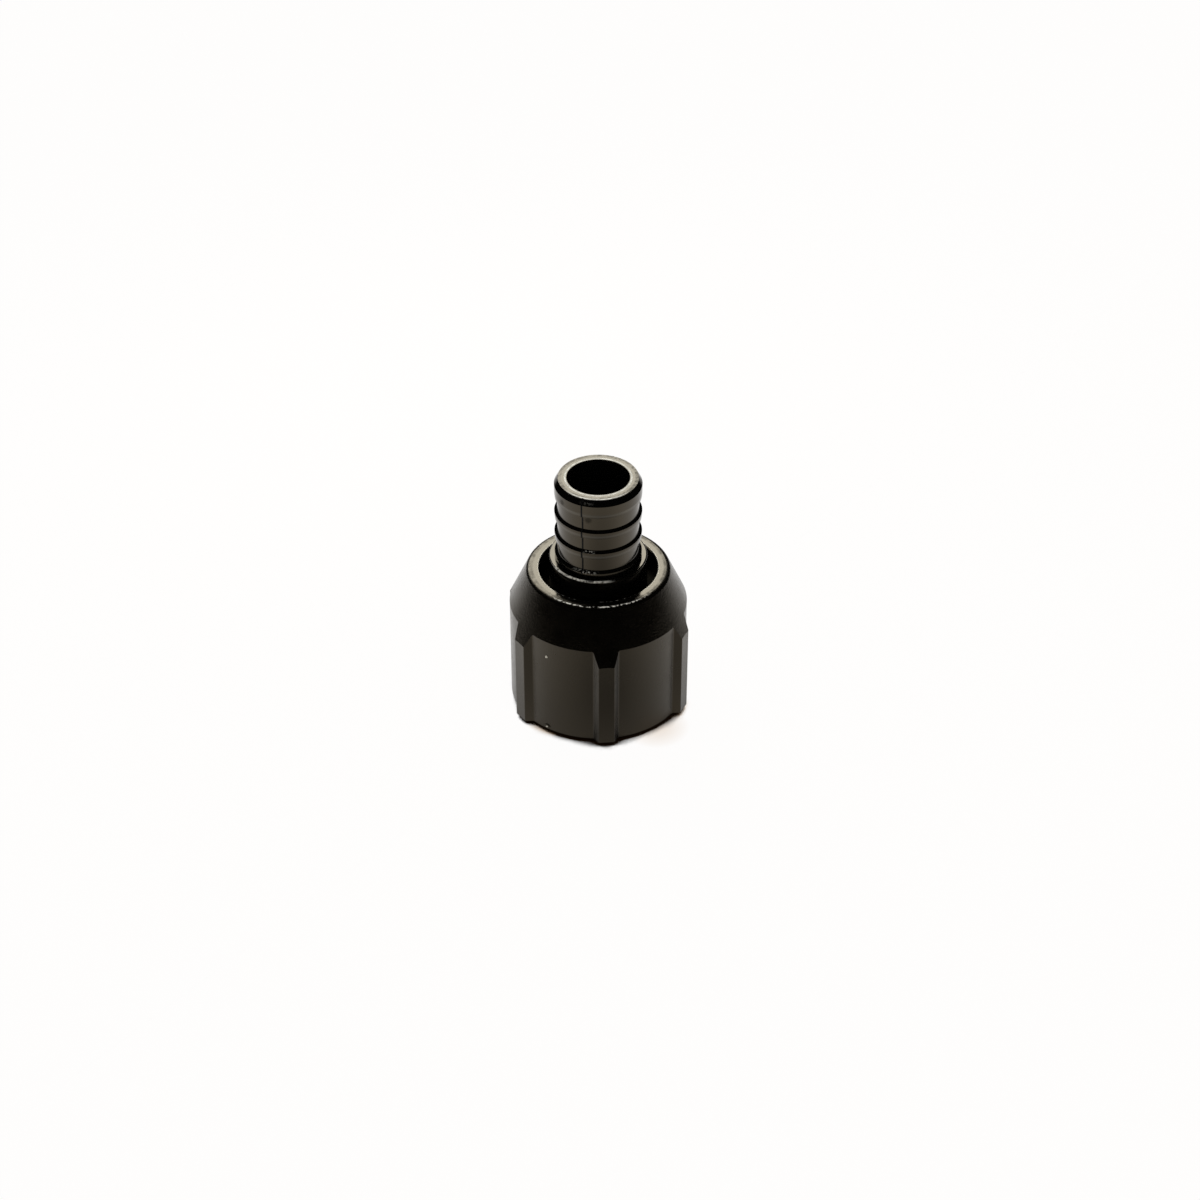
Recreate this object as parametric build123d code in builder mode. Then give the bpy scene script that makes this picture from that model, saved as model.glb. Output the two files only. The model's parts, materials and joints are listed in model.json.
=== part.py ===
"""Swivel coupling for plastic water tube: a barbed insert, a ribbed swivel nut and a sealing washer.

Millimetres, +Z up. The origin is the centre of the nut's open rim, one grip rib points to -Y and
the barb points up. The insert's flange is trapped under the nut's shoulder and turns freely there.
Radii follow from the barb outwards, and heights from the nut's rim upwards.
"""

import os

from build123d import *

# Barb: the tube's bore sets its radius
barb_radius = 6.25
groove_depth = 0.4
barb_wall = 1.34
barb_rib_count = 3
barb_rib_pitch = 3.47
barb_rib_land_height = 0.34
barb_rib_bevel_height = 0.4
barb_foot_height = 0.4
land_taper_height = 0.62
land_taper_depth = 0.06
crown_to_rib = 4.48
crown_land_height = 1.32
crown_bevel_height = 0.95
crown_bevel_depth = 0.53
barb_edge_bevel = 0.1
waterway_edge_bevel = 0.15
waterway_mouth_bevel = 0.35

# Hub and flange of the insert
hub_step = 0.8
hub_rise = 2.29
hub_clearance = 1.48
hub_edge_rounding = 0.2
hub_root_bevel = 0.5
flange_overlap = 0.87
flange_thickness = 2.0
flange_edge_bevel = 0.25
flange_clearance = 0.2
flange_end_float = 0.2

# Sealing washer
washer_lead = 0.7
washer_thickness = 2.0
washer_hole_clearance = 0.9
washer_squeeze = 0.05

# Swivel nut, inside
thread_length = 13.2
thread_depth = 0.9
thread_runout = 0.7
thread_mouth_bevel = 0.5
shoulder_thickness = 3.5
hole_edge_bevel = 0.15

# Swivel nut, outside
nut_wall = 2.38
shoulder_height = 5.75
top_face_width = 1.74
top_edge_rounding = 0.7
rim_bevel_height = 1.15
rim_bevel_depth = 0.75

# Grip ribs of the nut
grip_rib_count = 6
grip_rib_rise = 0.97
grip_rib_face_width = 2.25
grip_rib_base_width = 3.5
grip_rib_root_rounding = 0.35
grip_rib_edge_rounding = 0.15

# Radii that follow
groove_radius = barb_radius - groove_depth
waterway_radius = groove_radius - barb_wall
hub_radius = barb_radius + hub_step
hole_radius = hub_radius + hub_clearance
flange_radius = hole_radius + flange_overlap
chamber_radius = flange_radius + flange_clearance
thread_root_radius = chamber_radius + thread_depth
body_radius = thread_root_radius + nut_wall
top_face_radius = hole_radius + top_face_width

# Heights that follow
chamber_foot = thread_length + thread_runout
washer_bottom = chamber_foot + washer_lead
flange_underside = washer_bottom + washer_thickness
flange_top = flange_underside + flange_thickness
shoulder_underside = flange_top + flange_end_float
nut_height = shoulder_underside + shoulder_thickness
hub_top = nut_height + hub_rise
first_rib_edge = hub_top + barb_foot_height + barb_rib_land_height
last_rib_edge = first_rib_edge + (barb_rib_count - 1) * barb_rib_pitch
crown_edge = last_rib_edge + crown_to_rib
barb_top = crown_edge + crown_bevel_height


def land_corners(edge, land_height):
    """Corners of a land whose foot tapers in before it steps back to the groove, from its foot up."""
    land_foot = edge - land_height
    return [
        (groove_radius, land_foot - land_taper_height),
        (barb_radius - land_taper_depth, land_foot - land_taper_height),
        (barb_radius, land_foot),
        (barb_radius, edge),
    ]


def barb_corners():
    """Corners of the barb's half section from the hub up to the crown's face."""
    foot_radius = barb_radius - land_taper_depth * barb_foot_height / land_taper_height
    corners = [(foot_radius, hub_top)]
    corners.append((barb_radius, hub_top + barb_foot_height))
    corners.append((barb_radius, first_rib_edge))
    corners.append((groove_radius, first_rib_edge + barb_rib_bevel_height))
    for turn in range(1, barb_rib_count):
        edge = first_rib_edge + turn * barb_rib_pitch
        corners.extend(land_corners(edge, barb_rib_land_height))
        corners.append((groove_radius, edge + barb_rib_bevel_height))
    corners.extend(land_corners(crown_edge, crown_land_height))
    corners.append((barb_radius - crown_bevel_depth, barb_top))
    corners.append((waterway_radius, barb_top))
    return corners


with BuildPart() as barb_insert:
    with BuildSketch(Plane.XZ) as insert_section:
        with BuildLine():
            Polyline(
                (waterway_radius, flange_underside),
                (flange_radius, flange_underside),
                (flange_radius, flange_top),
                (hub_radius, flange_top),
                (hub_radius, hub_top),
                *barb_corners(),
                close=True,
            )
        make_face()
        corners = insert_section.vertices()
        hub_line = corners.filter_by_position(Axis.X, hub_radius, hub_radius).sort_by(Axis.Y)
        fillet(hub_line[-1], hub_edge_rounding)
        chamfer(hub_line[0], hub_root_bevel)
        chamfer(corners.filter_by_position(Axis.X, flange_radius, flange_radius), flange_edge_bevel)
        land_line = corners.filter_by_position(Axis.X, barb_radius, barb_radius).sort_by(Axis.Y)
        chamfer(land_line[1::2], barb_edge_bevel)
        waterway_line = corners.filter_by_position(Axis.X, waterway_radius, waterway_radius)
        chamfer(waterway_line.sort_by(Axis.Y)[0], waterway_mouth_bevel)
        chamfer(waterway_line.sort_by(Axis.Y)[-1], waterway_edge_bevel)
    revolve(axis=Axis.Z)
barb_insert.part.label = "barb_insert"

with BuildPart() as swivel_nut:
    with BuildSketch() as grip_outline:
        Circle(body_radius)
        flank_spread = (grip_rib_base_width - grip_rib_face_width) / 2
        with PolarLocations(0, grip_rib_count, start_angle=-90):
            Polygon(
                (body_radius - grip_rib_rise, grip_rib_base_width / 2 + flank_spread),
                (body_radius - grip_rib_rise, -grip_rib_base_width / 2 - flank_spread),
                (body_radius + grip_rib_rise, -grip_rib_face_width / 2),
                (body_radius + grip_rib_rise, grip_rib_face_width / 2),
                align=None,
            )
        rib_roots = [
            corner for corner in grip_outline.vertices()
            if Vector(corner).length < body_radius + grip_rib_rise / 2
        ]
        fillet(rib_roots, grip_rib_root_rounding)
    extrude(amount=nut_height)
    rim = swivel_nut.faces().sort_by(Axis.Z)[0]
    chamfer(rim.edges(), length=rim_bevel_height, length2=rim_bevel_depth, reference=rim)
    rib_edges = [
        edge for edge in swivel_nut.edges().filter_by(Axis.Z)
        if edge.distance_to((0, 0, edge.center().Z)) > body_radius + grip_rib_rise / 2
    ]
    fillet(rib_edges, grip_rib_edge_rounding)
    with BuildSketch(Plane.XZ):
        with BuildLine():
            shoulder_slope = (body_radius - top_face_radius) / shoulder_height
            outside = body_radius + 2 * grip_rib_rise
            outside_height = nut_height - (outside - top_face_radius) / shoulder_slope
            FilletPolyline(
                (0, 0),
                (outside, 0),
                (outside, outside_height),
                (top_face_radius, nut_height),
                (0, nut_height),
                radius=[0, 0, 0, top_edge_rounding, 0],
                close=True,
            )
        make_face()
    revolve(axis=Axis.Z, mode=Mode.INTERSECT)
    with BuildSketch(Plane.XZ):
        with BuildLine():
            FilletPolyline(
                (0, 0),
                (thread_root_radius + thread_mouth_bevel, 0),
                (thread_root_radius, thread_mouth_bevel),
                (thread_root_radius, thread_length),
                (chamber_radius, chamber_foot),
                (chamber_radius, shoulder_underside),
                (hole_radius, shoulder_underside),
                (hole_radius, nut_height - hole_edge_bevel),
                (hole_radius + hole_edge_bevel, nut_height),
                (0, nut_height),
                radius=0,
                close=True,
            )
        make_face()
    revolve(axis=Axis.Z, mode=Mode.SUBTRACT)
swivel_nut.part.label = "swivel_nut"

with BuildPart() as seal_washer:
    with BuildSketch(Plane.XY.offset(washer_bottom)):
        Circle(chamber_radius + washer_squeeze)
        Circle(waterway_radius + washer_hole_clearance, mode=Mode.SUBTRACT)
    extrude(amount=washer_thickness)
seal_washer.part.label = "seal_washer"

os.makedirs("parts", exist_ok=True)
export_step(barb_insert.part, "parts/barb_insert.step")
export_step(swivel_nut.part, "parts/swivel_nut.step")
export_step(seal_washer.part, "parts/seal_washer.step")
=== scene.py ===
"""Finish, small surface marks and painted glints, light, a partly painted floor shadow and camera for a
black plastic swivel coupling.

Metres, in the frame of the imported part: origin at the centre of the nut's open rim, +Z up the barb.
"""

import json
import math

import bmesh
import bpy
from mathutils import Matrix, Vector, noise


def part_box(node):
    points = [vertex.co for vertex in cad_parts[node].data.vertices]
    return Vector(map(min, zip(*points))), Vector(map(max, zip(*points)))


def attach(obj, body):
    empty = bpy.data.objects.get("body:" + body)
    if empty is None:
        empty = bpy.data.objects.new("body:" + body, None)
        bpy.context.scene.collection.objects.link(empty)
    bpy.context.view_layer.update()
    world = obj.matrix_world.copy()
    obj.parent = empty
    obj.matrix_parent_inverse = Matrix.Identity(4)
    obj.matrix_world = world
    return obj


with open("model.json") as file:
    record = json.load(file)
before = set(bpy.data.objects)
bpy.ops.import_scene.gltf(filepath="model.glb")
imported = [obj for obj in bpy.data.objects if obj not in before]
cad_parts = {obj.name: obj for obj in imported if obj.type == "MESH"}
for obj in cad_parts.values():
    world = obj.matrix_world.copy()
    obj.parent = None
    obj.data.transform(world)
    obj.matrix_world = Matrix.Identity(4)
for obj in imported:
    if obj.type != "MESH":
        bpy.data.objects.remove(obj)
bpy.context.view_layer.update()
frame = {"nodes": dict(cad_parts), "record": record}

MM = 0.001

# Where the pieces are, read from the frame
nut_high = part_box("swivel_nut")[1]
nut_top = nut_high.z
body_radius = nut_high.x
mounts = {mount["name"]: mount for mount in frame["record"]["mounts"]}
thread_mount = mounts["pipe_thread"]
thread_root_radius = thread_mount["dims"]["r_mm"] * MM
thread_length = thread_mount["dims"]["length_mm"] * MM
barb_mount = mounts["tube_barb"]
barb_radius = barb_mount["dims"]["r_mm"] * MM
barb_foot = barb_mount["pos_m"][2] - barb_mount["dims"]["length_mm"] / 2 * MM
barb_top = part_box("barb_insert")[1].z

# Female pipe thread, fourteen turns to the inch
thread_pitch = 25.4 / 14 * MM
thread_depth = 0.86 * MM
thread_crest_width = 0.34 * MM
thread_flank_angle = math.radians(30)
thread_sink = 0.05 * MM
thread_start = 0.9 * MM
thread_steps_per_turn = 96

# Seam left by the mould's two halves, up both sides of the barb
parting_direction = math.radians(-117)
parting_width = 0.22 * MM
parting_rise = 0.04 * MM
parting_inner_radius = barb_radius - 0.6 * MM
merge_distance = 1e-7
cut_tolerance = 1e-9

# Small faults on the nut's left front panel. A size is half the fault's extent out, around and up.
fault_direction = math.radians(-130)
pip_height = 13.95 * MM
pip_size = (0.16 * MM, 0.20 * MM, 0.20 * MM)
chip_height = 1.2 * MM
chip_rise = 0.12 * MM
chip_size = (0.10 * MM, 0.18 * MM, 0.16 * MM)
burr_sink = 0.05 * MM
burr_size = (0.20 * MM, 0.55 * MM, 0.40 * MM)
lump_fineness = 1.6
lump_depth = 0.35

# Black plastic
plastic_ior = 1.6
reflection_tint = (1.0, 0.83, 0.58, 1)
deep_black = (0.0006, 0.0006, 0.0005, 1)
faded_black = (0.0020, 0.0018, 0.0015, 1)
# Pale colour of the painted glints, which stand in for highlights on edges and small places
glint_colour = (0.85, 0.83, 0.75, 1)
polished_roughness = 0.085
dulled_roughness = 0.9
# Roughness at the painted glints, and the glint strengths over which it takes over
glint_roughness = 0.7
glint_from = (0.25, 0.45)
cloud_size = 3.5 * MM
flow_size = 5.0 * MM
flow_stretch = (1, 1, 1.6)
flow_depth = 0.012 * MM
polished_grain = 0.04

# Range in which most of a noise lies
noise_middle = (0.3, 0.7)

# Places of painted glints: the middle direction of each and its reach to either side, in degrees
nut_front = (-94, 48)
hub_front = (-122, 48)
crown_front = (-98, 52)
lowest_rib_side = (-113, 20)
middle_rib_side = (-107, 11)
crown_side = (-110, 12)

# Lines of painted glints: the middle radius or height of each and its reach to either side
ring_outer_line = (9.93 * MM, 0.16 * MM)
ring_inner_line = (8.72 * MM, 0.14 * MM)
crown_outer_line = (5.61 * MM, 0.16 * MM)
crown_inner_line = (4.72 * MM, 0.16 * MM)
hub_corner_line = (barb_foot - 0.51 * MM, 0.20 * MM)
lowest_rib_line = (barb_foot + 0.46 * MM, 0.34 * MM)
middle_rib_line = (barb_foot + 4.01 * MM, 0.24 * MM)
crown_glint_line = (barb_top - 0.55 * MM, 0.30 * MM)
lowest_land_line = (barb_foot + 3.22 * MM, 0.34 * MM)
middle_land_line = (barb_foot + 6.69 * MM, 0.34 * MM)
crown_land_line = (barb_top - 2.52 * MM, 0.34 * MM)

# Radii or heights where a mask starts and where it is full
ring_from = (nut_top - 0.45 * MM, nut_top - 0.12 * MM)
ring_top_from = (nut_top - 0.30 * MM, nut_top - 0.15 * MM)
ring_dull_from = (9.25 * MM, 9.55 * MM)
rib_from = (barb_radius - 0.38 * MM, barb_radius - 0.20 * MM)
land_from = (barb_radius - 0.20 * MM, barb_radius - 0.12 * MM)
hub_corner_from = (6.80 * MM, 6.90 * MM)
bore_edge_from = (barb_top - 0.20 * MM, barb_top - 0.05 * MM)
crown_top_from = (barb_top - 0.10 * MM, barb_top - 0.02 * MM)
crown_dull_from = (5.10 * MM, 5.30 * MM)
flange_from = (nut_top - 0.5 * MM, nut_top - 1.5 * MM)

# Smudges on the barb: direction, radius, height and reach
groove_smudge = (math.radians(-109), barb_radius - 0.40 * MM, barb_top - 3.45 * MM, 0.75 * MM)
land_smudge = (math.radians(-149), barb_radius, barb_top - 1.80 * MM, 0.70 * MM)
smudge_core = 0.4

# Camera, as fitted to the ellipses in the photograph
camera_azimuth = math.radians(-5.0)
camera_elevation = math.radians(36.53)
camera_distance = 374.0 * MM
camera_aim = Vector((0.25, 0, 16.2)) * MM
camera_lens = 77.14
camera_sensor = 36.0
camera_clip_start = 0.01

# Table top. A spot is millimetres to the right of the axis and away from the camera.
floor_size = 4.0
table_colour = (0.9, 0.88, 0.85, 1)
# Colours of the painted shadow on the table and of its warm painted edge
shadow_colour = (0.02, 0.010, 0.004, 1)
shadow_edge_colour = (1, 0.60, 0.24, 1)
white = (1, 1, 1, 1)
shelter_reach = 4 * MM
shelter_samples = 8
open_from = (0.50, 0.60)
outside_spot = (3, -12)
outside_from = (9 * MM, 14 * MM)
outside_lift = 0.10
shade_spot = (8.4, -9.2)
shade_reach = (0.5 * MM, 5.0 * MM)
shade_lightness = (0.72, 0.98)
front_spot = (4, -27)
front_reach = (4 * MM, 42 * MM)
front_lightness = 0.27
axis_spot = (0, 0)
far_reach = (60 * MM, 150 * MM)
far_lightness = 0.3

# Studio
card_radius = 0.17
card_colour = (0.002, 0.002, 0.002, 1)
softbox_distance = 0.15
softbox_elevation = math.radians(43)
softbox_azimuth = math.radians(15)
softbox_width = 0.102
softbox_height = 0.064
softbox_power = 0.112
softbox_colour = (0.96, 0.98, 0.94)
fill_strength = 0.66


def add_node(tree, kind, values=None, **settings):
    """Adds a shader node with its settings and the values of its sockets."""
    node = tree.nodes.new(kind)
    for name, value in settings.items():
        setattr(node, name, value)
    for socket, value in (values or {}).items():
        node.inputs[socket].default_value = value
    return node


def new_material(name):
    """A material with a principled shader, with its tree and that shader."""
    material = bpy.data.materials.new(name)
    material.use_nodes = True
    shader = material.node_tree.nodes["Principled BSDF"]
    return material, material.node_tree, shader


def set_socket(tree, socket, value):
    """Links a socket to another one, or gives it a plain value."""
    if isinstance(value, bpy.types.NodeSocket):
        tree.links.new(value, socket)
    else:
        socket.default_value = value


def calculate(tree, operation, *values):
    """One step of arithmetic on sockets or numbers."""
    node = add_node(tree, "ShaderNodeMath", operation=operation)
    for socket, value in zip(node.inputs, values):
        set_socket(tree, socket, value)
    return node.outputs["Value"]


def blend(tree, kind, factor, first, second):
    """Goes from first to second with the factor. The kind is FLOAT or RGBA."""
    node = add_node(tree, "ShaderNodeMix", data_type=kind)
    tree.links.new(factor, node.inputs["Factor"])
    set_socket(tree, node.inputs["A"], first)
    set_socket(tree, node.inputs["B"], second)
    return node.outputs["Result"]


def ranged(tree, source, low, high, to_low=0.0, to_high=1.0):
    """Maps a socket's range from low..high to to_low..to_high."""
    values = {"From Min": low, "From Max": high, "To Min": to_low, "To Max": to_high}
    node = add_node(tree, "ShaderNodeMapRange", values)
    tree.links.new(source, node.inputs["Value"])
    return node.outputs["Result"]


def toned(tree, mask, low, high):
    """A mask that runs from low to high in place of nought to one."""
    return ranged(tree, mask, 0.0, 1.0, low, high)


def all_of(tree, *masks):
    """The product of several masks."""
    product = masks[0]
    for mask in masks[1:]:
        product = calculate(tree, "MULTIPLY", product, mask)
    return product


def most_of(tree, *masks):
    """The greatest of several masks."""
    greatest = masks[0]
    for mask in masks[1:]:
        greatest = calculate(tree, "MAXIMUM", greatest, mask)
    return greatest


def object_noise(tree, cell, detail=2.0, roughness=0.5, stretch=(1, 1, 1)):
    """Noise on the piece's own coordinates, with cells of about the given size in metres."""
    place = add_node(tree, "ShaderNodeTexCoord")
    scale = [1 / (cell * share) for share in stretch]
    mapping = add_node(tree, "ShaderNodeMapping", {"Scale": scale})
    values = {"Scale": 1.0, "Detail": detail, "Roughness": roughness}
    texture = add_node(tree, "ShaderNodeTexNoise", values)
    tree.links.new(place.outputs["Object"], mapping.inputs["Vector"])
    tree.links.new(mapping.outputs["Vector"], texture.inputs["Vector"])
    return texture.outputs["Fac"]


def specks(tree, cell, low, high, detail=1.0):
    """Specks about as big as a cell: nought where the noise is under low, one where it is over high."""
    return ranged(tree, object_noise(tree, cell, detail=detail), low, high)


def bump(tree, height, depth, under=None):
    """A bump of the given depth in metres, laid over another one if that is given."""
    node = add_node(tree, "ShaderNodeBump", {"Strength": 1.0, "Distance": depth})
    tree.links.new(height, node.inputs["Height"])
    if under is not None:
        tree.links.new(under, node.inputs["Normal"])
    return node.outputs["Normal"]


def around_axis(tree):
    """Radius, direction and height of a point on a piece, about the coupling's axis."""
    place = add_node(tree, "ShaderNodeTexCoord")
    parts = add_node(tree, "ShaderNodeSeparateXYZ")
    tree.links.new(place.outputs["Object"], parts.inputs["Vector"])
    x, y, height = parts.outputs
    squares = calculate(
        tree, "ADD", calculate(tree, "MULTIPLY", x, x), calculate(tree, "MULTIPLY", y, y)
    )
    return calculate(tree, "SQRT", squares), calculate(tree, "ARCTAN2", y, x), height


def band(tree, source, middle, reach, fade=1.0):
    """One in the middle of a band, falling to nought at its reach over the outer share given as fade."""
    away = calculate(tree, "ABSOLUTE", calculate(tree, "SUBTRACT", source, middle))
    return ranged(tree, away, reach, reach * (1 - fade))


def facing(tree, direction, place, fade=1.0):
    """A band of directions, from the middle and the reach of a worn place."""
    middle, reach = place
    return band(tree, direction, math.radians(middle), math.radians(reach), fade)


def beside_axis(direction, radius, height):
    """The point at a direction, radius and height about the coupling's axis."""
    return Vector((math.cos(direction) * radius, math.sin(direction) * radius, height))


def distance_from(tree, spot):
    """How far a point on a piece is from a spot."""
    place = add_node(tree, "ShaderNodeTexCoord")
    away = add_node(tree, "ShaderNodeVectorMath", operation="DISTANCE")
    tree.links.new(place.outputs["Object"], away.inputs[0])
    away.inputs[1].default_value = spot
    return away.outputs["Value"]


def smudge(tree, direction, radius, height, reach):
    """One at a spot on a piece's side, falling to nought at its reach."""
    away = distance_from(tree, beside_axis(direction, radius, height))
    return ranged(tree, away, reach, reach * smudge_core)


def nut_glints_and_marks(tree):
    """The nut's top ring is shiny with a duller outer band. Pale colour is painted along its edges at
    the front, and faintly round the rest of its inner edge, as painted glints where highlights fall.
    """
    radius, direction, height = around_axis(tree)
    front = facing(tree, direction, nut_front, fade=0.35)
    # Speckled pale painted glints on the ring's edges at the front, and a faint painted highlight line
    # round the back of the inner edge
    outer_edge_glints = all_of(
        tree,
        front,
        band(tree, radius, *ring_outer_line, fade=0.6),
        specks(tree, 0.42 * MM, 0.48, 0.60),
    )
    inner_edge = band(tree, radius, *ring_inner_line)
    inner_specks = specks(tree, 0.30 * MM, 0.60, 0.68)
    inner_edge_glints = all_of(tree, front, inner_edge, toned(tree, inner_specks, 0.0, 0.25))
    inner_glint_line = all_of(tree, inner_edge, ranged(tree, front, 0.0, 0.5, 0.25, 0.0))
    edges = most_of(tree, outer_edge_glints, inner_edge_glints, inner_glint_line)
    # The painted glints are kept to the ring's top
    glints = all_of(tree, edges, ranged(tree, height, *ring_top_from))
    polished = ranged(tree, height, *ring_from)
    streaks = toned(tree, specks(tree, 0.9 * MM, 0.35, 0.65, detail=2.0), 0.20, 0.40)
    dulled = all_of(tree, polished, streaks, ranged(tree, radius, *ring_dull_from))
    return glints, polished, dulled


def insert_glints_and_marks(tree):
    """Painted glints, pale colour standing in for highlights: on ribs and crown beside the seam, on the
    hub's and crown's front edges, round the bore edge and at the feet of the lands. Also a shinier crown
    top, dulling smudges and a dull flange.
    """
    radius, direction, height = around_axis(tree)
    crown_top = ranged(tree, height, *crown_top_from)
    fine_specks = specks(tree, 0.30 * MM, 0.48, 0.60)
    coarse_specks = specks(tree, 0.55 * MM, 0.42, 0.58, detail=2.0)

    # Painted glints on the ribs and the crown beside the seam, and painted highlight lines at the feet
    # of the lands
    lowest_rib = all_of(
        tree, band(tree, height, *lowest_rib_line), facing(tree, direction, lowest_rib_side)
    )
    middle_rib = all_of(
        tree, band(tree, height, *middle_rib_line), facing(tree, direction, middle_rib_side)
    )
    rib_glints = all_of(
        tree, ranged(tree, radius, *rib_from), fine_specks, most_of(tree, middle_rib, lowest_rib)
    )
    crown_glints = all_of(
        tree, fine_specks, band(tree, height, *crown_glint_line), facing(tree, direction, crown_side)
    )
    land_lines = (lowest_land_line, middle_land_line, crown_land_line)
    land_feet = most_of(tree, *[band(tree, height, *line) for line in land_lines])
    land_foot_glints = all_of(tree, ranged(tree, radius, *land_from), land_feet)
    hub_edge = all_of(
        tree,
        ranged(tree, radius, *hub_corner_from),
        band(tree, height, *hub_corner_line, fade=0.6),
        facing(tree, direction, hub_front, fade=0.4),
        toned(tree, coarse_specks, 0.08, 0.6),
    )
    bore_edge = all_of(
        tree,
        ranged(tree, height, *bore_edge_from),
        band(tree, radius, *crown_inner_line, fade=0.5),
        toned(tree, coarse_specks, 0.65, 1.0),
    )
    crown_edge = all_of(
        tree,
        crown_top,
        band(tree, radius, *crown_outer_line, fade=0.5),
        facing(tree, direction, crown_front, fade=0.4),
        toned(tree, coarse_specks, 0.55, 1.0),
    )
    # All the painted glints together: pale colour where highlights fall
    glints = most_of(
        tree,
        ranged(tree, rib_glints, 0.0, 0.8, 0.0, 0.35),
        toned(tree, crown_glints, 0.0, 0.06),
        toned(tree, land_foot_glints, 0.0, 0.05),
        hub_edge,
        bore_edge,
        crown_edge,
    )

    crown_band = all_of(
        tree,
        crown_top,
        ranged(tree, radius, *crown_dull_from),
        toned(tree, coarse_specks, 0.20, 0.40),
    )
    smudges = most_of(tree, smudge(tree, *groove_smudge), smudge(tree, *land_smudge))
    flange = ranged(tree, height, *flange_from)
    dulled = most_of(tree, crown_band, flange, toned(tree, smudges, 0.0, 0.5))
    return glints, crown_top, dulled


def black_plastic(name, gloss, grain_cell, grain_depth, glints_and_marks):
    """Moulded black plastic: fine grain, slow waviness from the mould, uneven gloss, small marks and
    painted glints.

    gloss is the roughness of the shiniest and the dullest spots. The last argument takes the tree and
    gives three masks:
    painted glints, where pale colour stands in for highlights; where the mould left it shinier; and
    where it is duller.
    """
    material, tree, shader = new_material(name)
    shader.inputs["IOR"].default_value = plastic_ior
    shader.inputs["Specular Tint"].default_value = reflection_tint
    glints, polished, dulled = glints_and_marks(tree)
    cloud = object_noise(tree, cloud_size, detail=3.0)
    colour = blend(tree, "RGBA", cloud, deep_black, faded_black)
    # Painted glints: pale colour laid where highlights fall on edges and small places
    colour = blend(tree, "RGBA", glints, colour, glint_colour)
    tree.links.new(colour, shader.inputs["Base Color"])
    roughness = ranged(tree, cloud, *noise_middle, *gloss)
    roughness = blend(tree, "FLOAT", polished, roughness, polished_roughness)
    roughness = blend(tree, "FLOAT", dulled, roughness, dulled_roughness)
    roughness = blend(tree, "FLOAT", ranged(tree, glints, *glint_from), roughness, glint_roughness)
    tree.links.new(roughness, shader.inputs["Roughness"])
    flow = object_noise(tree, flow_size, detail=1.0, stretch=flow_stretch)
    waves = bump(tree, flow, flow_depth)
    grain = bump(tree, object_noise(tree, grain_cell, roughness=0.6), grain_depth, under=waves)
    tree.links.new(toned(tree, polished, 1.0, polished_grain), grain.node.inputs["Strength"])
    tree.links.new(grain, shader.inputs["Normal"])
    return material


def grained(name, ior, cell, detail, colours, gloss, depth):
    """A finish whose colour, gloss and relief all follow one fine noise."""
    material, tree, shader = new_material(name)
    shader.inputs["IOR"].default_value = ior
    grain = object_noise(tree, cell, detail=detail)
    tree.links.new(blend(tree, "RGBA", grain, *colours), shader.inputs["Base Color"])
    tree.links.new(ranged(tree, grain, *noise_middle, *gloss), shader.inputs["Roughness"])
    tree.links.new(bump(tree, grain, depth), shader.inputs["Normal"])
    return material


def washer_rubber():
    """Dull black rubber with a fine powdery grain."""
    colours = ((0.012, 0.012, 0.012, 1), (0.022, 0.022, 0.021, 1))
    return grained(
        "washer_rubber",
        ior=1.5,
        cell=0.3 * MM,
        detail=4.0,
        colours=colours,
        gloss=(0.62, 0.78),
        depth=0.012 * MM,
    )


def seam_plastic():
    """The dull, torn skin along the mould's seam."""
    colours = ((0.0020, 0.0020, 0.0018, 1), (0.0060, 0.0058, 0.0052, 1))
    return grained(
        "seam_plastic",
        ior=1.3,
        cell=0.25 * MM,
        detail=3.0,
        colours=colours,
        gloss=(0.45, 0.75),
        depth=0.02 * MM,
    )


def painted_glint_plastic():
    """Pale plastic for the small pip and chip, whose colour is a painted glint standing in for their
    highlights.
    """
    # Pale colours of the painted glint
    colours = ((0.35, 0.33, 0.28, 1), (0.85, 0.80, 0.68, 1))
    return grained(
        "painted_glint_plastic",
        ior=1.44,
        cell=0.12 * MM,
        detail=3.0,
        colours=colours,
        gloss=(0.45, 0.8),
        depth=0.02 * MM,
    )


def dress(piece, material):
    """Gives every slot of a piece the material."""
    piece.data.materials.clear()
    piece.data.materials.append(material)


def object_from(bm, name, material):
    """Turns a bmesh into an object with one material."""
    mesh = bpy.data.meshes.new(name)
    bm.to_mesh(mesh)
    bm.free()
    mesh.materials.append(material)
    made = bpy.data.objects.new(name, mesh)
    bpy.context.scene.collection.objects.link(made)
    return made


def piece_from(bm, name, body, material, smooth=True):
    """Turns a bmesh into a finished piece that rides on a body and takes a slot's finish."""
    bmesh.ops.recalc_face_normals(bm, faces=bm.faces)
    for face in bm.faces:
        face.smooth = smooth
    piece = object_from(bm, name, material)
    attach(piece, body)
    return piece


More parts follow.
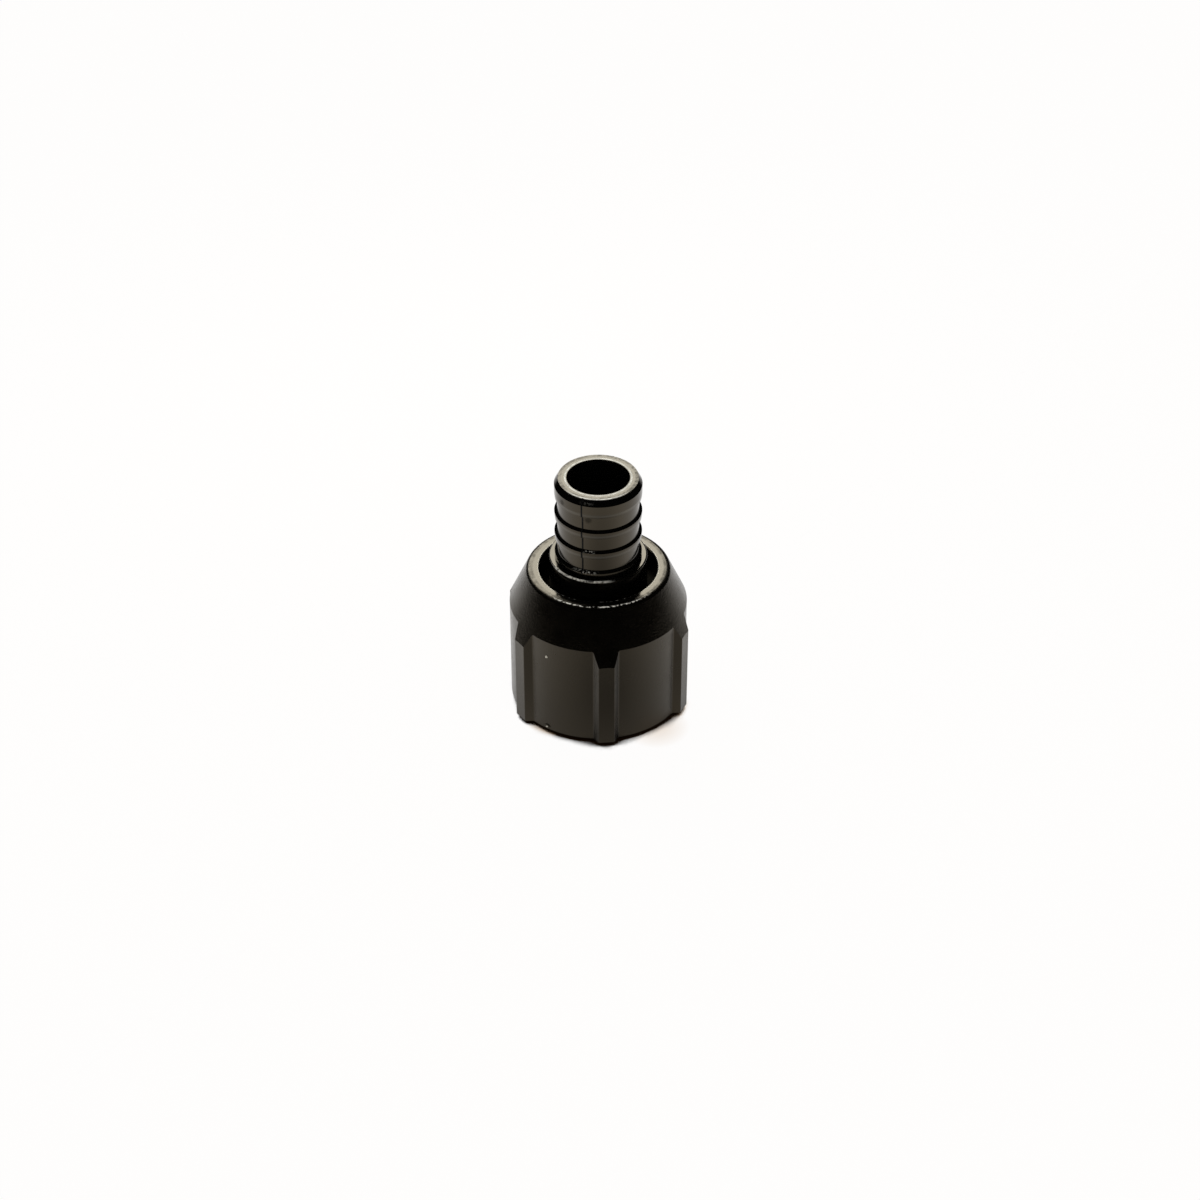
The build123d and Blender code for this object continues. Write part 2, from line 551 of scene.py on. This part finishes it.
def thread_ridge(material):
    """The helical ridge of the pipe thread, spun up the bore from one trapezoid section."""
    bm = bmesh.new()
    crest_radius = thread_root_radius - thread_depth
    root_width = thread_crest_width + 2 * thread_depth * math.tan(thread_flank_angle)
    outline = [
        (thread_root_radius + thread_sink, -root_width / 2),
        (thread_root_radius, -root_width / 2),
        (crest_radius, -thread_crest_width / 2),
        (crest_radius, thread_crest_width / 2),
        (thread_root_radius, root_width / 2),
        (thread_root_radius + thread_sink, root_width / 2),
    ]
    middle = thread_start + root_width / 2
    corners = [bm.verts.new((radius, 0, middle + rise)) for radius, rise in outline]
    section = bm.faces.new(corners)
    turns = (thread_length - root_width) / thread_pitch
    steps = round(turns * thread_steps_per_turn)
    bmesh.ops.spin(
        bm,
        geom=[section, *section.edges, *section.verts],
        cent=(0, 0, 0),
        axis=(0, 0, 1),
        dvec=(0, 0, thread_pitch / thread_steps_per_turn),
        angle=steps * 2 * math.pi / thread_steps_per_turn,
        steps=steps,
        use_duplicate=False,
    )
    return piece_from(bm, "pipe_thread", "nut", material, smooth=False)


def parting_line(name, direction, material):
    """A thin raised seam up one side of the barb, cut from the insert's own surface."""
    bm = bmesh.new()
    bm.from_mesh(frame["nodes"]["barb_insert"].data)
    bmesh.ops.remove_doubles(bm, verts=bm.verts, dist=merge_distance)
    along = Vector((math.cos(direction), math.sin(direction), 0))
    across = Vector((-along.y, along.x, 0))
    for side in (1, -1):
        bmesh.ops.bisect_plane(
            bm,
            geom=[*bm.verts, *bm.edges, *bm.faces],
            dist=cut_tolerance,
            plane_co=across * side * parting_width / 2,
            plane_no=across * side,
            clear_outer=True,
        )
    hidden = [
        face for face in bm.faces
        if face.calc_center_median().dot(along) < parting_inner_radius
        or face.calc_center_median().z < barb_foot
    ]
    bmesh.ops.delete(bm, geom=hidden, context="FACES")
    bmesh.ops.translate(bm, verts=bm.verts, vec=along * parting_rise)
    walls = bmesh.ops.extrude_face_region(bm, geom=bm.faces[:])
    sunk = [item for item in walls["geom"] if isinstance(item, bmesh.types.BMVert)]
    bmesh.ops.translate(bm, verts=sunk, vec=-along * parting_rise * 2)
    return piece_from(bm, name, "insert", material, smooth=False)


def burr(name, radius, height, size, seed, material):
    """A small uneven lump of plastic, half sunk in the nut's surface."""
    bm = bmesh.new()
    bmesh.ops.create_icosphere(bm, subdivisions=3, radius=1.0)
    for vert in bm.verts:
        lumpiness = noise.noise(vert.co * lump_fineness + Vector((seed, 0, 0)))
        vert.co *= 1 + lump_depth * lumpiness
    bmesh.ops.scale(bm, vec=Vector(size), verts=bm.verts)
    bmesh.ops.rotate(bm, matrix=Matrix.Rotation(fault_direction, 3, "Z"), verts=bm.verts)
    place = beside_axis(fault_direction, radius, height)
    bmesh.ops.translate(bm, vec=place, verts=bm.verts)
    return piece_from(bm, name, "nut", material)


def seen_directly(tree):
    """One for rays from the camera, from gloss and through glass, and nought for all others."""
    path = add_node(tree, "ShaderNodeLightPath")
    first = calculate(tree, "MAXIMUM", path.outputs["Is Camera Ray"], path.outputs["Is Glossy Ray"])
    return calculate(tree, "MAXIMUM", first, path.outputs["Is Transmission Ray"])


def around_spot(tree, spot, reach, near, far):
    """Goes from the near to the far value with the distance from a spot on the table."""
    place = Matrix.Rotation(camera_azimuth, 3, "Z") @ (Vector((*spot, 0)) * MM)
    return ranged(tree, distance_from(tree, place), *reach, near, far)


def white_in_gloss(tree):
    """How white the table is in the plastic's gloss, a painted dimming of its reflection: dim in front
    of the coupling and far off.
    """
    path = add_node(tree, "ShaderNodeLightPath")
    front = around_spot(tree, front_spot, front_reach, front_lightness, 1.0)
    far = around_spot(tree, axis_spot, far_reach, 1.0, far_lightness)
    return blend(tree, "FLOAT", path.outputs["Is Glossy Ray"], 1.0, all_of(tree, front, far))


def table_white():
    """White with a partly painted shadow: its colour and glow darken where the coupling shelters it,
    with a painted shade spot beside it and a warm painted shadow edge; plain and bright beyond.
    """
    material, tree, shader = new_material("white_floor")
    shader.inputs["Roughness"].default_value = 0.9
    shader.inputs["Specular IOR Level"].default_value = 0.0
    reach = {"Distance": shelter_reach}
    shelter = add_node(tree, "ShaderNodeAmbientOcclusion", reach, samples=shelter_samples)
    outside = around_spot(tree, outside_spot, outside_from, 0.0, outside_lift)
    openness = calculate(tree, "ADD", shelter.outputs["AO"], outside)
    open_sky = ranged(tree, openness, *open_from)
    # Painted shadow: the table's colour darkens where the coupling shelters it
    base = blend(tree, "RGBA", open_sky, shadow_colour, table_colour)
    tree.links.new(base, shader.inputs["Base Color"])
    # Painted shade spot at the coupling's right front
    shade = around_spot(tree, shade_spot, shade_reach, *shade_lightness)
    lightness = all_of(tree, open_sky, shade)
    glow = add_node(tree, "ShaderNodeEmission")
    tree.links.new(white_in_gloss(tree), glow.inputs["Strength"])
    # Painted warm edge of the shadow, in the glow's colour
    tree.links.new(blend(tree, "RGBA", lightness, shadow_edge_colour, white), glow.inputs["Color"])
    mix = add_node(tree, "ShaderNodeMixShader")
    tree.links.new(all_of(tree, seen_directly(tree), lightness), mix.inputs["Fac"])
    tree.links.new(shader.outputs["BSDF"], mix.inputs[1])
    tree.links.new(glow.outputs["Emission"], mix.inputs[2])
    tree.links.new(mix.outputs["Shader"], tree.nodes["Material Output"].inputs["Surface"])
    return material


def white_floor():
    """The flat white table top."""
    bm = bmesh.new()
    bmesh.ops.create_grid(bm, x_segments=1, y_segments=1, size=floor_size / 2)
    return object_from(bm, "floor", table_white())


def dark_card():
    """A dome of black card round the table that only the gloss of the plastic shows."""
    material, tree, shader = new_material("dark_card")
    shader.inputs["Base Color"].default_value = card_colour
    shader.inputs["Roughness"].default_value = 1.0
    shader.inputs["Specular IOR Level"].default_value = 0.0
    bm = bmesh.new()
    bmesh.ops.create_icosphere(bm, subdivisions=4, radius=card_radius)
    card = object_from(bm, "dark_card", material)
    card.visible_camera = False
    card.visible_diffuse = False
    card.visible_shadow = False
    card.visible_transmission = False
    return card


def set_light():
    """The soft light behind the coupling, and an even fill from the world."""
    light = bpy.data.lights.new("softbox", "AREA")
    light.shape = "RECTANGLE"
    light.size = softbox_width
    light.size_y = softbox_height
    light.energy = softbox_power
    light.color = softbox_colour
    softbox = bpy.data.objects.new("softbox", light)
    bpy.context.scene.collection.objects.link(softbox)
    away = camera_azimuth + softbox_azimuth
    towards = Vector((
        -math.sin(away) * math.cos(softbox_elevation),
        math.cos(away) * math.cos(softbox_elevation),
        math.sin(softbox_elevation),
    ))
    softbox.location = towards * softbox_distance
    softbox.rotation_mode = "QUATERNION"
    softbox.rotation_quaternion = towards.to_track_quat("Z", "Y")
    softbox.visible_camera = False

    world = bpy.data.worlds.new("studio")
    bpy.context.scene.world = world
    world.use_nodes = True
    tree = world.node_tree
    ground = tree.nodes["Background"]
    ground.inputs["Color"].default_value = white
    strength = toned(tree, seen_directly(tree), fill_strength, 1.0)
    tree.links.new(strength, ground.inputs["Strength"])


def set_camera():
    """The camera at the photograph's angle, distance and framing."""
    data = bpy.data.cameras.new("camera")
    data.lens = camera_lens
    data.sensor_width = camera_sensor
    data.clip_start = camera_clip_start
    camera = bpy.data.objects.new("camera", data)
    bpy.context.scene.collection.objects.link(camera)
    back = Vector((
        math.sin(camera_azimuth) * math.cos(camera_elevation),
        -math.cos(camera_azimuth) * math.cos(camera_elevation),
        math.sin(camera_elevation),
    ))
    aim = Matrix.Rotation(camera_azimuth, 3, "Z") @ camera_aim
    camera.location = aim + back * camera_distance
    camera.rotation_mode = "QUATERNION"
    camera.rotation_quaternion = (-back).to_track_quat("-Z", "Y")
    bpy.context.scene.camera = camera


nut_plastic = black_plastic("nut_plastic", (0.20, 0.28), 0.22 * MM, 0.03 * MM, nut_glints_and_marks)
insert_plastic = black_plastic("insert_plastic", (0.09, 0.14), 0.45 * MM, 0.002 * MM, insert_glints_and_marks)
glint_finish = painted_glint_plastic()
seam = seam_plastic()
dress(frame["nodes"]["swivel_nut"], nut_plastic)
dress(frame["nodes"]["barb_insert"], insert_plastic)
dress(frame["nodes"]["seal_washer"], washer_rubber())
thread_ridge(nut_plastic)
parting_line("front_parting_line", parting_direction, seam)
parting_line("rear_parting_line", parting_direction + math.pi, seam)
# The pip and the chip take the pale painted-glint finish
burr("panel_pip", body_radius, pip_height, pip_size, 3.0, glint_finish)
burr("rim_burr", body_radius - burr_sink, chip_height, burr_size, 7.0, nut_plastic)
burr("rim_chip", body_radius + chip_rise, chip_height, chip_size, 5.0, glint_finish)
white_floor()
dark_card()
set_light()
set_camera()
bpy.context.scene.view_settings.view_transform = "Standard"
